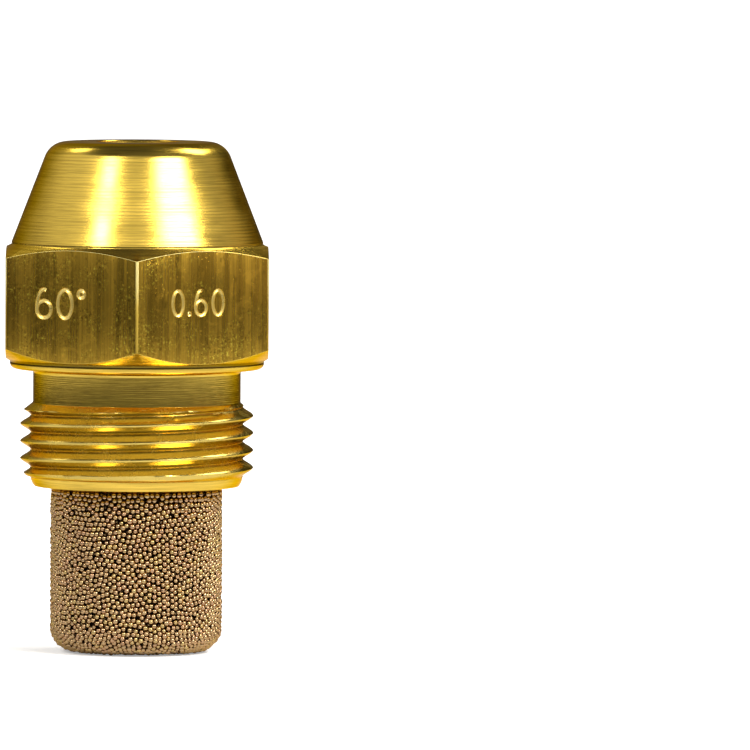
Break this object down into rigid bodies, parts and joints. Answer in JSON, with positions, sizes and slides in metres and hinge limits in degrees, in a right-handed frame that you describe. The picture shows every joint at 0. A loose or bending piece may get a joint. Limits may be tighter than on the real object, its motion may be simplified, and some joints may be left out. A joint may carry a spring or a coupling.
{
  "type": "oil burner nozzle",
  "caption": "Brass pressure-atomising oil burner nozzle with conical front, hexagon, screw thread, steel orifice disc and sintered bronze filter.",
  "frame": {"origin": "centre of the filter's flat end, which the nozzle stands on", "axes": "+Z along the nozzle's axis towards the spray, +X square to one flat of the hexagon"},
  "size_m": [0.016, 0.0184, 0.0312],
  "materials": {
    "body_brass": "turned and drawn brass, bright, with fine tool lines",
    "disc_steel": "turned stainless steel",
    "distributor_steel": "turned stainless steel",
    "screw_brass": "turned brass",
    "bush_brass": "turned brass",
    "filter_bronze": "sintered bronze balls"
  },
  "bodies": {
    "filter": {"sintered_filter": "filter_bronze", "filter_bush": "bush_brass"},
    "orifice": {"orifice_disc": "disc_steel"},
    "screw": {"locking_screw": "screw_brass"},
    "swirler": {"distributor": "distributor_steel"},
    "body": {"nozzle_body": "body_brass"}
  },
  "joints": [
    {"name": "filter_unscrew_travel", "type": "slide", "parent": "filter", "child": "orifice", "axis": [0, 0, 1], "range_m": [0, 0.0045]},
    {"name": "filter_unscrew_turn", "type": "hinge", "parent": "orifice", "child": "screw", "pos_m": [0, 0, 0.0115], "axis": [0, 0, 1], "range_deg": [0, 1620]},
    {"name": "body_unscrew_turn", "type": "hinge", "parent": "screw", "child": "swirler", "pos_m": [0, 0, 0.0165], "axis": [0, 0, 1], "range_deg": [0, 3420]},
    {"name": "body_unscrew_travel", "type": "slide", "parent": "swirler", "child": "body", "axis": [0, 0, 1], "range_m": [0, 0.0095]}
  ],
  "couplings": [
    {"joint": "filter_unscrew_turn", "follows": "filter_unscrew_travel", "rad_per_m": 6283.2},
    {"joint": "body_unscrew_turn", "follows": "body_unscrew_travel", "rad_per_m": 6283.2}
  ]
}
